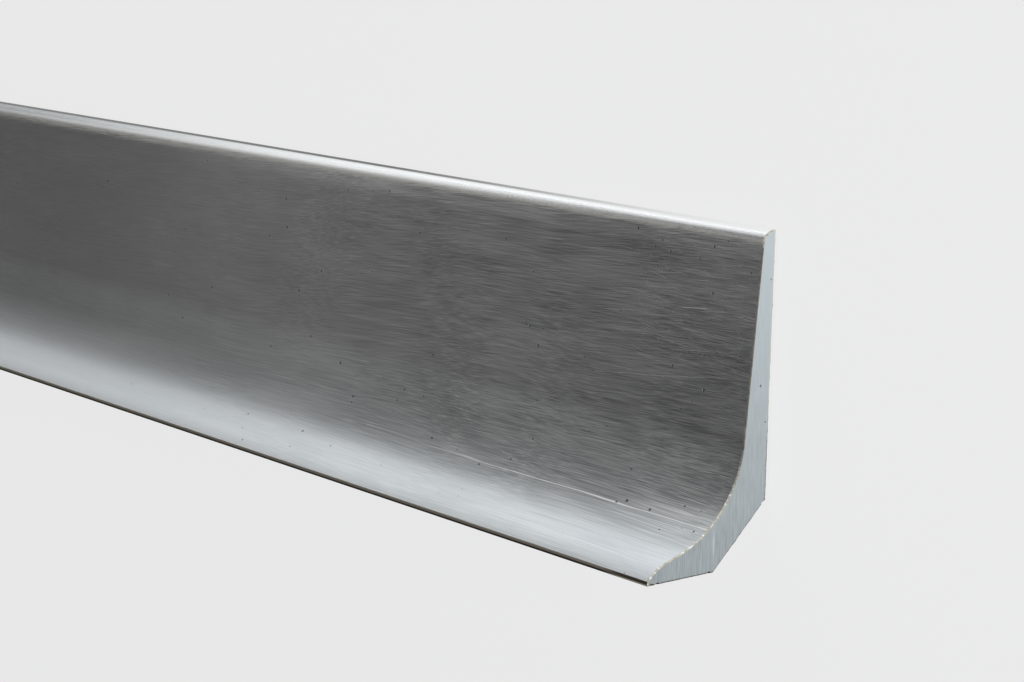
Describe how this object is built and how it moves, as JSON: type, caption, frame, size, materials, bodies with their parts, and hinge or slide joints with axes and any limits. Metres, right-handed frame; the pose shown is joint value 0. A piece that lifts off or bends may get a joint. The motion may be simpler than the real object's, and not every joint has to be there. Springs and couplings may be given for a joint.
{
  "type": "cove moulding",
  "caption": "Straight strip of cast metal cove moulding with an L section: a tapered wall leg, a hollow cove, a thin foot and a bevelled heel.",
  "frame": {"origin": "under the middle of the strip, on the plane of its flat back, with the strip lying on that back", "axes": "+X along the strip, +Y up the tall leg from the foot to the rounded top edge, +Z out from the wall, square off the back"},
  "size_m": [1, 0.07, 0.03],
  "materials": {
    "cast_metal": "cast, brushed lengthwise, satin, with sparse pinholes and fine scratches"
  },
  "bodies": {
    "root": {"cove_moulding": "cast_metal"}
  },
  "joints": []
}
